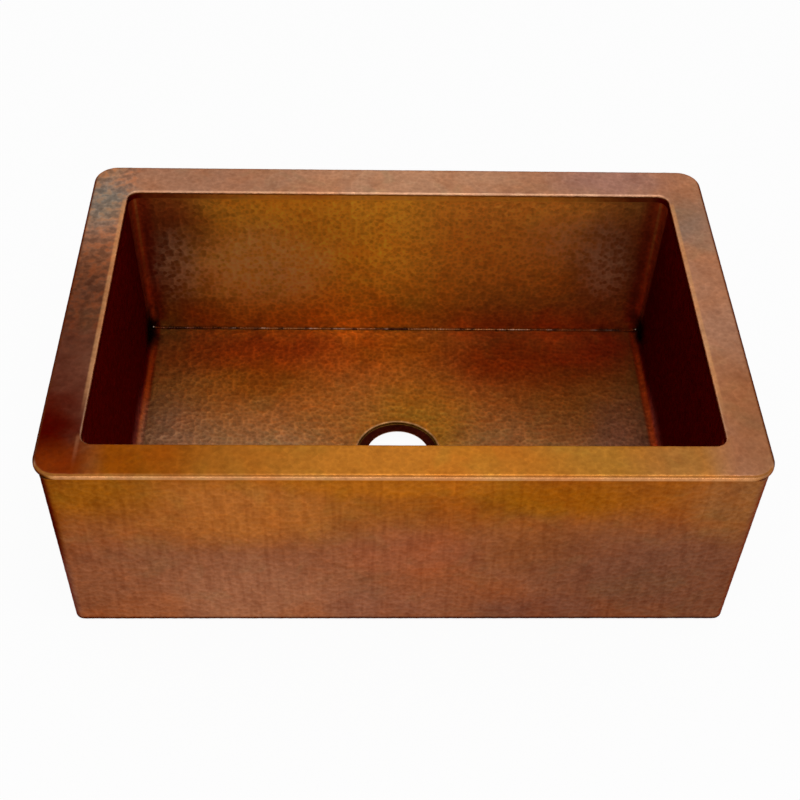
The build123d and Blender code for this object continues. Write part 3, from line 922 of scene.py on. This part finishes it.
def rim_patina(bench, place, soft):
    """Tan deck, dark at the left, amber along the front. Painted highlights, with some polished wear, lie on
    the rounded outer edges and the front face of the rolled edge, and along the opening's rounded edge;
    painted shade darkens the outer rolls, the front corners and the top of the front roll.
    """
    x, out_x, along, up = bench.axes(place)
    deck = patched(bench, (0.37, 0.185, 0.112), soft, DECK_PATCHES)
    left = bench.fade(x, -0.37, -0.35)
    blotch = bench.noise(place, 95.0, 4.0)
    mottled = left * bench.ramp(along, -0.12, 0.02)
    deck = bench.tint(deck, (0.56, 0.58, 0.62), bench.ramp(blotch, 0.48, 0.62) * mottled * 0.65)
    deck = bench.tint(deck, (1.45, 1.1, 0.85), bench.fade(blotch, 0.38, 0.52) * mottled * 0.65)
    seam = bench.fade(abs(out_x - seam_x), 0.0006, 0.0034)
    front = patched(bench, (0.36, 0.135, 0.018), soft, FRONT_PATCHES)
    on_front = bench.fade(along, core_front - 0.002, core_front + 0.002)
    on_front = on_front * bench.fade(out_x, seam_x - 0.04, seam_x + 0.01)
    colour = bench.mix(deck, front, on_front)
    seam = seam * left * bench.ramp(along, rim_low.y + 0.008, core_front - 0.01)
    seam = seam * bench.fade(along, core_front - 0.006, core_front)
    colour = bench.mix(colour, (0.4, 0.15, 0.07), seam * 0.3)
    drop = bench.fade(up, deck_z - 0.0045, deck_z - 0.0012)
    nose_side = bench.fade(along, rim_low.y + 0.012, rim_low.y + 0.02)
    worn_highlight = bench.band(up, deck_z, -0.0036, -0.0022, -0.0014, -0.0002)
    colour = bench.mix(colour, (0.46, 0.185, 0.022), drop)
    within = bench.fade(out_x, open_half + 0.006, open_half + 0.01) * bench.fade(along, 0.23, 0.234)
    within = within * bench.ramp(along, rim_low.y + 0.01, rim_low.y + 0.014)
    flange = bench.mix((1.0, 0.44, 0.055), (0.34, 0.07, 0.014), bench.ramp(out_x, 0.18, 0.34))
    # Towards the sides the flange takes the side walls' painted shade.
    flange = bench.mix(flange, SIDE_WALL_SHADE, bench.ramp(out_x, core_half - 0.01, core_half + 0.006))
    flange = bench.mix(flange, (0.2, 0.055, 0.014), bench.ramp(up, deck_z - 0.006, deck_z - 0.004) * 0.8)
    colour = bench.mix(colour, flange, drop * within)
    # Painted highlight, with some polished wear, on a band of the outer rolls.
    colour = bench.mix(colour, POLISHED_HIGHLIGHT, worn_highlight * (1 - nose_side * 0.6) * 0.55)
    # Painted highlight: a thin bright line along the opening's rounded edge, at the back and the sides.
    arris_highlight = bench.band(out_x, open_half, -0.001, 0, 0.004, 0.007)
    arris_highlight = arris_highlight * bench.ramp(along, core_front + 0.02, core_front + 0.1) * (1 - drop)
    arris_highlight = arris_highlight * bench.fade(along, core_back - 0.01, core_back)
    colour = bench.mix(colour, (0.6, 0.3, 0.13), arris_highlight * 0.55)
    # Painted highlight: the front face of the rolled edge is lightened to a bright copper line.
    nose_highlight = bench.fade(along, rim_low.y + 0.0004, rim_low.y + 0.0026)
    nose_highlight = nose_highlight * bench.fade(out_x, 0.388, 0.405) * bench.fade(up, deck_z - 0.003, deck_z - 0.0018)
    # Painted shade: the top of the front roll is darkened, keeping the highlight below it thin.
    roll_top_shade = bench.band(up, deck_z, -0.003, -0.0018, -0.0009, -0.0004)
    colour = bench.mix(colour, (0.3, 0.105, 0.014), roll_top_shade * nose_side * 0.8)
    colour = bench.mix(colour, (0.54, 0.25, 0.1), nose_highlight * 0.95)
    # Painted shade: the rolls round the front corners are darkened, the left one most.
    corner_roll_shade = bench.ramp(out_x, 0.392, 0.405) * nose_side * drop
    shaded_tip = bench.mix((0.1, 0.03, 0.01), (0.36, 0.17, 0.09), bench.ramp(x, -0.1, 0.1))
    colour = bench.mix(colour, shaded_tip, corner_roll_shade)
    # Painted shade: the outer rolls along the sides and the back are darkened almost to black.
    outer = bench.ramp(out_x, rim_high.x - 0.0055, rim_high.x - 0.002)
    outer = outer.high(bench.ramp(along, rim_high.y - 0.005, rim_high.y - 0.0015))
    return bench.mix(colour, (0.065, 0.018, 0.006), outer * 0.9)


rim_copper = copper("rim_copper", rim_patina, marks=0.42)
strips = {"front": end_strip(-1), "back": end_strip(1), "left": side_strip(-1), "right": side_strip(1)}
for number, (where, outline) in enumerate(strips.items()):
    patches = [([outline], rim_creases, deck_fold, everywhere)]
    shift = RIM_SHIFT + number
    hammered_piece(f"rim_{where}", patches, RIM_STEPS, "rim_copper", rim_copper, shift, RIM_MARK_DEPTH)


# ---- Apron ----
# The front panel is one sheet, wrapped back at both sides and under the foot, where its corners are
# cut at 45 degrees and welded. It hangs under the rolled front edge of the rim.

APRON_CORNER = 0.012
APRON_FOOT = 0.008
APRON_RETURN = 0.05
FOOT_RETURN = 0.025
FOOT_RETURN_SIDE = 0.014
FOOT_CREASES = 0.98  # share of the foot's roll that has creases
APRON_STEPS = (0.002, 0.008)
CREASE_STOP = 0.0005  # from a cut edge to the end of a crease

apron_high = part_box("apron")[1]
apron_core = apron_high.x - APRON_CORNER
apron_front = rim_low.y
apron_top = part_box("weld_apron_top")[0].z
apron_core_y = apron_front + APRON_CORNER
apron_arc = APRON_CORNER * QUARTER
apron_side = APRON_RETURN - APRON_CORNER
apron_half = apron_core + apron_arc + apron_side
foot_start_e = apron_top - APRON_FOOT
foot_end_e = foot_start_e + APRON_FOOT * QUARTER


def apron_fold(flat):
    """Upright faces round the two corners, then rolled under at the foot. A pattern's -y is the way down."""
    s, down = flat[:, 0], -flat[:, 1]
    roll = np.clip((down - foot_start_e) / APRON_FOOT, 0, QUARTER)
    inset = APRON_FOOT * (1 - np.cos(roll))
    z = apron_top - np.minimum(down, foot_start_e) - APRON_FOOT * np.sin(roll)
    across = np.abs(s)
    angle = np.clip((across - apron_core) / APRON_CORNER, 0, QUARTER)
    run = np.maximum(across - apron_core - apron_arc, 0)
    radius = APRON_CORNER - inset
    x = np.minimum(across, apron_core) + radius * np.sin(angle)
    y = apron_core_y - radius * np.cos(angle) + run
    return np.stack([np.copysign(x, s), y, z], axis=1)


def foot_fold(flat):
    """Level return under the foot, drawn as seen from below."""
    return np.stack([-flat[:, 0], flat[:, 1], np.zeros(len(flat))], axis=1)


return_top = apron_high.z - apron_top
corner_x, corner_r = apron_high.x - rim_core_half, outer_flat
step_y = rim_core_front - math.sqrt(corner_r**2 - corner_x**2)
step_s = apron_core + apron_arc + step_y - apron_core_y
mitre = math.radians(45)


def mitre_edge(radius):
    """Half of the mitre's cut, as an angle at this radius round the corner."""
    return math.asin(WELD_GAP / 2 / radius)


def upright_outline():
    """Flat pattern of the upright faces, with the mitres cut out of the rolled foot."""
    notch = []
    for k in range(NOTCH_PARTS + 1):
        roll = QUARTER * k / NOTCH_PARTS
        radius = APRON_CORNER - APRON_FOOT * (1 - math.cos(roll))
        notch.append((mitre_edge(radius), -(foot_start_e + APRON_FOOT * roll)))
    near = [(apron_core + APRON_CORNER * (mitre - wide), down) for wide, down in notch]
    far = [(apron_core + APRON_CORNER * (mitre + wide), down) for wide, down in notch]
    end = mitre - notch[-1][0]
    inner = [(apron_core + APRON_CORNER * end * k / 4, -foot_end_e) for k in range(5)]
    outer = [(apron_core + apron_arc - APRON_CORNER * end * k / 4, -foot_end_e) for k in range(4, -1, -1)]
    right = inner[:-1] + near[::-1] + far + outer[1:]
    right += [(apron_half, -foot_end_e), (apron_half, return_top), (step_s, return_top), (step_s, 0)]
    return both_halves(right)


upright_creases = []
for k in range(7):
    down = -(foot_start_e + APRON_FOOT * QUARTER * k / 6 * FOOT_CREASES)
    upright_creases.append([(-apron_core, down), (apron_core, down)])
    for side in (-1, 1):
        ends = (apron_core + apron_arc, apron_half - CREASE_STOP)
        upright_creases.append([(side * s, down) for s in ends])
        s = side * (apron_core + apron_arc * k / 6)
        upright_creases.append([(s, -foot_start_e), (s, -CREASE_STOP)])

under_radius = APRON_CORNER - APRON_FOOT
apron_back = apron_front + APRON_RETURN
well_half = apron_high.x - FOOT_RETURN_SIDE
well_front = apron_front + FOOT_RETURN
under_end = mitre - mitre_edge(under_radius)
slant = WELD_GAP / math.sqrt(2)
mitre_x = apron_core - (well_front - apron_core_y)


def under_arc(start, turn):
    """Points round the foot's corner, at angles from straight ahead."""
    points = []
    for k in range(5):
        a = start + turn * k / 4
        points.append((apron_core + under_radius * math.sin(a), apron_core_y - under_radius * math.cos(a)))
    return points


front_right = under_arc(0, under_end) + [(mitre_x - slant, well_front)]
under_front = both_halves(front_right)
under_side = under_arc(QUARTER - under_end, under_end)
under_side += [(apron_core + under_radius, apron_back), (well_half, apron_back), (well_half, well_front)]
under_side += [(mitre_x + slant, well_front)]
apron_patches = [
    ([upright_outline()], upright_creases, apron_fold, everywhere),
    ([under_front], [], foot_fold, everywhere),
    ([under_side], [], foot_fold, everywhere),
    ([[(-x, y) for x, y in under_side]], [], foot_fold, everywhere),
]


APRON_PATCHES = [
    ((0.45, 0.155, 0.036), (-0.19, -0.28, 0.22), (0.2, 0.1, 0.09), 0.9),
    ((0.31, 0.105, 0.01), (-0.36, -0.28, 0.26), (0.12, 0.1, 0.06), 0.8),
    ((0.47, 0.15, 0.014), (-0.02, -0.28, 0.27), (0.24, 0.1, 0.03), 0.7),
    ((0.33, 0.105, 0.004), (0.17, -0.28, 0.245), (0.13, 0.1, 0.05), 0.6),
    ((0.26, 0.085, 0.026), (0.16, -0.28, 0.15), (0.11, 0.1, 0.07), 0.7),
    ((0.36, 0.114, 0.052), (0.0, -0.28, 0.14), (0.13, 0.1, 0.07), 0.7),
    ((0.39, 0.165, 0.088), (-0.19, -0.28, 0.04), (0.2, 0.1, 0.13), 0.8),
    ((0.29, 0.12, 0.072), (-0.02, -0.28, 0.03), (0.12, 0.1, 0.07), 0.7),
    ((0.196, 0.082, 0.048), (0.33, -0.28, 0.08), (0.26, 0.1, 0.18), 0.9),
    ((0.17, 0.075, 0.055), (0.16, -0.28, 0.02), (0.12, 0.1, 0.06), 0.5),
    ((0.3, 0.125, 0.045), (0.38, -0.28, 0.24), (0.09, 0.1, 0.1), 0.9),
    ((0.16, 0.035, 0.004), (-0.42, -0.28, 0.2), (0.04, 0.1, 0.12), 0.9),
]


def apron_patina(bench, place, soft):
    """Golden amber under the rim, mauve brown lower down, darker round the side corners, and painted shade on
    the foot.
    """
    x, out_x, _, up = bench.axes(place)
    colour = bench.mix((0.3, 0.112, 0.054), (0.34, 0.105, 0.016), bench.ramp(up, 0.13, 0.25))
    colour = patched(bench, colour, soft, APRON_PATCHES)
    rows = bench.vector("MULTIPLY", place, (150.0, 0.0, 16.0))
    rows = bench.noise(rows, 1.0, 2.0)
    colour = bench.tint(colour, (0.8, 0.74, 0.72), bench.ramp(rows, 0.46, 0.66) * 0.55)
    corner = bench.ramp(out_x, apron_core - 0.002, apron_core + 0.009)
    edge = bench.mix((0.17, 0.105, 0.085), (0.06, 0.022, 0.01), bench.ramp(up, 0.1, 0.17))
    edge = bench.mix(edge, (0.26, 0.13, 0.08), bench.ramp(x, -0.1, 0.1))
    colour = bench.mix(colour, edge, corner * 0.9)
    # Painted shade: the foot, rolled under towards the floor, is darkened to near black.
    return bench.mix(colour, (0.03, 0.012, 0.006), bench.fade(up, 0.006, 0.012))


apron_copper = copper("apron_copper", apron_patina, marks=0.45)
hammered_piece("apron", apron_patches, APRON_STEPS, "apron_copper", apron_copper, 9.0)


# ---- Welds ----
# Copper filler joins the sheets along every edge. On the deck, the apron and the bowl's corners it is
# ground flush, and it has the patina of the sheets beside it.

flush = {
    "weld_rim": copper("deck_weld_copper", rim_patina, marks=0),
    "weld_opening": copper("opening_weld_copper", bowl_patina, marks=0, metal=0.8, shows=turned_inwards),
    "weld_corner": copper("corner_weld_copper", bowl_patina, marks=0, metal=0.8, shows=turned_inwards),
    "weld_apron": copper("apron_weld_copper", apron_patina, marks=0),
}
for name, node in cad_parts.items():
    for start, material in flush.items():
        if name.startswith(start):
            for slot in node.material_slots:
                slot.material = material


# ---- Floor beads ----
# The end walls are welded to the floor from inside. The bead is a row of small ripples, sooty and pitted,
# that runs up the floor's bends and ends in a lump at each corner.

BEAD_PITCH = 0.0024
BEAD_WIDTH = 0.0034
BEAD_SINK = 0.0009
LUMP_SINK = 0.0016
LUMP = 0.45
UNEVENNESS = 0.22
FIRST_SEED = 11
CLIMB_PARTS = 6
CLIMB_TURN = math.radians(60)


def rippled_bead_tree():
    """Geometry nodes that lay overlapping ripples of filler along a line."""
    sizes = {"Pitch": "Float", "Width": "Float", "Unevenness": "Float", "Lump": "Float", "Seed": "Int"}
    tree, bench, given = begun_tree("rippled_bead", sizes)
    line = bench.node("GeometryNodeMeshToCurve", None, {"Mesh": given})
    inputs = {"Curve": line, "Length": given.also("Pitch")}
    run = bench.node("GeometryNodeResampleCurve", {"mode": "LENGTH"}, inputs)
    width = given.also("Width")
    drop = bench.node("GeometryNodeMeshUVSphere", None, {"Segments": 12, "Rings": 7, "Radius": width * 0.5})
    along = bench.node("GeometryNodeSplineParameter")
    from_middle = abs(along - 0.5) * 2
    lump = bench.ramp(from_middle, 0.985, 1.0) * given.also("Lump")
    spread = given.also("Unevenness")
    inputs = {2: 1 - spread, 3: 1 + spread, "Seed": given.also("Seed")}
    size = bench.node("FunctionNodeRandomValue", {"data_type": "FLOAT"}, inputs, 1) + lump
    half_turn = (math.pi, math.pi, math.pi)
    turn_inputs = {0: (0, 0, 0), 1: half_turn, "Seed": given.also("Seed")}
    turned = bench.node("FunctionNodeRandomValue", {"data_type": "FLOAT_VECTOR"}, turn_inputs, 0)
    inputs = {"Points": run, "Instance": drop, "Rotation": turned, "Scale": size}
    ripples = bench.node("GeometryNodeInstanceOnPoints", None, inputs)
    solid = bench.node("GeometryNodeRealizeInstances", None, {"Geometry": ripples})
    smooth = bench.node("GeometryNodeSetShadeSmooth", None, {"Geometry": solid})
    end_tree(bench, smooth, given.also("Finish"))
    return tree


def bead_patina(bench, place, soft):
    """Soot and amber in short lengths, with pale fragments here and there, partly raw metal and partly
    painted highlight, and a painted grey highlight where it climbs into the corners.
    """
    broken = bench.noise(place, 75.0, 2.0)
    bare_metal_and_highlight = bench.noise(place, 46.0, 1.0)
    _, out_x, _, _ = bench.axes(place)
    middle = bench.fade(out_x, 0.12, 0.34)
    ground = bench.mix((0.2, 0.04, 0.008), (0.42, 0.19, 0.07), middle)
    colour = bench.mix((0.075, 0.026, 0.014), ground, bench.ramp(broken, 0.38, 0.56))
    # Painted highlight, partly raw metal: pale fragments along the bead.
    colour = bench.mix(colour, (0.6, 0.42, 0.32), bench.ramp(bare_metal_and_highlight, 0.56, 0.68) * (0.15 + middle * 0.45))
    # Painted highlight: where the bead climbs into the corners and swells into lumps it turns pale grey.
    return bench.mix(colour, (0.2, 0.165, 0.13), bench.ramp(out_x, 0.358, 0.3605))


bead_tree = rippled_bead_tree()
bead_copper = copper("weld_copper", bead_patina, marks=0, rough=0.34)
for number, (end, side) in enumerate((("front", -1), ("back", 1))):
    climb = []
    for k in range(CLIMB_PARTS + 1):
        a = CLIMB_TURN * k / CLIMB_PARTS
        sink = BEAD_SINK + LUMP_SINK * k / CLIMB_PARTS
        x = flat_half + (FLOOR_BEND - sink) * math.sin(a)
        h = FLOOR_BEND - (FLOOR_BEND - sink) * math.cos(a)
        radius = corner_radius(h) - sink
        y = core_y[side] + side * math.sqrt(radius**2 - max(x - core_half, 0) ** 2)
        climb.append((x, y, floor_z + h))
    line = [(-x, y, z) for x, y, z in reversed(climb)] + climb
    mesh = bpy.data.meshes.new(f"weld_floor_{end}_bead")
    mesh.from_pydata(line, [(k, k + 1) for k in range(len(line) - 1)], [])
    bead = placed(mesh.name, mesh)
    inputs = {"Pitch": BEAD_PITCH, "Width": BEAD_WIDTH, "Unevenness": UNEVENNESS, "Lump": LUMP}
    made_plain(bead, bead_tree, inputs | {"Seed": FIRST_SEED + number, "Finish": bead_copper})
    on_the_sink(bead, "weld_copper", f"weld_floor_{end}")


# ---- Studio ----
# A white floor in a white room, with one lamp above the bowl and a long low one before the apron.
# The camera stands where the photograph was taken from.

FLOOR_HALF = 30
FLOOR_WHITE = 0.95  # share of plain white in the floor as the camera sees it
ROOM_LIGHT = 0.6
CAMERA_PLACE = (-0.0514, -1.2279, 1.425)
CAMERA_TURN = (46.904, 2.444, 2.03)  # degrees down, to the right and round its own line of sight
LENS = 59.96
SENSOR_WIDTH = 36.0


def whitens(bench):
    """1 where the white shows to the camera, in metal or through glass, and 0 where it lights the sink."""
    rays = bench.node("ShaderNodeLightPath", None, None, "Is Camera Ray")
    return rays.high(rays.also("Is Glossy Ray")).high(rays.also("Is Transmission Ray"))


scene = bpy.context.scene
floor_mesh = bpy.data.meshes.new("studio_floor")
floor_corners = [(-1, -1), (1, -1), (1, 1), (-1, 1)]
floor_mesh.from_pydata([(x * FLOOR_HALF, y * FLOOR_HALF, 0) for x, y in floor_corners], [], [(0, 1, 2, 3)])
floor = placed("studio_floor", floor_mesh)
floor_white = bpy.data.materials.new("floor_white")
bench = cleared(floor_white)
paint = bench.node("ShaderNodeBsdfDiffuse", None, {"Color": (0.85, 0.85, 0.85, 1)})
white = bench.node("ShaderNodeEmission", None, {"Color": (1, 1, 1, 1), "Strength": 1.0})
cover = bench.node("ShaderNodeMixShader", None, {0: whitens(bench) * FLOOR_WHITE, 1: paint, 2: white})
bench.node("ShaderNodeOutputMaterial", None, {"Surface": cover})
floor_mesh.materials.append(floor_white)

world = bpy.data.worlds.new("white_room")
scene.world = world
bench = cleared(world)
inputs = {"Color": (1, 1, 1, 1), "Strength": ROOM_LIGHT + whitens(bench) * (1 - ROOM_LIGHT)}
sky = bench.node("ShaderNodeBackground", None, inputs)
bench.node("ShaderNodeOutputWorld", None, {"Surface": sky})


def softbox(name, place, target, width, height, power):
    """Rectangular lamp aimed at a point."""
    lamp = bpy.data.lights.new(name, "AREA")
    lamp.shape = "RECTANGLE"
    lamp.size, lamp.size_y, lamp.energy = width, height, power
    holder = placed(name, lamp)
    holder.location = place
    holder.rotation_euler = (Vector(target) - Vector(place)).to_track_quat("-Z", "Y").to_euler()


softbox("key_light", (0.3, -0.6, 2.2), (0, 0, 0.1), 1.0, 0.8, 9)
softbox("front_strip", (0.0, -2.2, 0.45), (0, -0.28, 0.28), 2.4, 0.25, 7)

pitch, yaw, roll = (math.radians(a) for a in CAMERA_TURN)
ahead = Vector((math.sin(yaw) * math.cos(pitch), math.cos(yaw) * math.cos(pitch), -math.sin(pitch)))
level = Vector((math.cos(yaw), -math.sin(yaw), 0))
upward = level.cross(ahead)
right = level * math.cos(roll) + upward * math.sin(roll)
top = upward * math.cos(roll) - level * math.sin(roll)
lens = bpy.data.cameras.new("camera")
lens.lens, lens.sensor_width = LENS, SENSOR_WIDTH
camera = placed("camera", lens)
camera.matrix_world = Matrix((right, top, -ahead)).transposed().to_4x4()
camera.location = CAMERA_PLACE
scene.camera = camera
scene.view_settings.view_transform = "Standard"
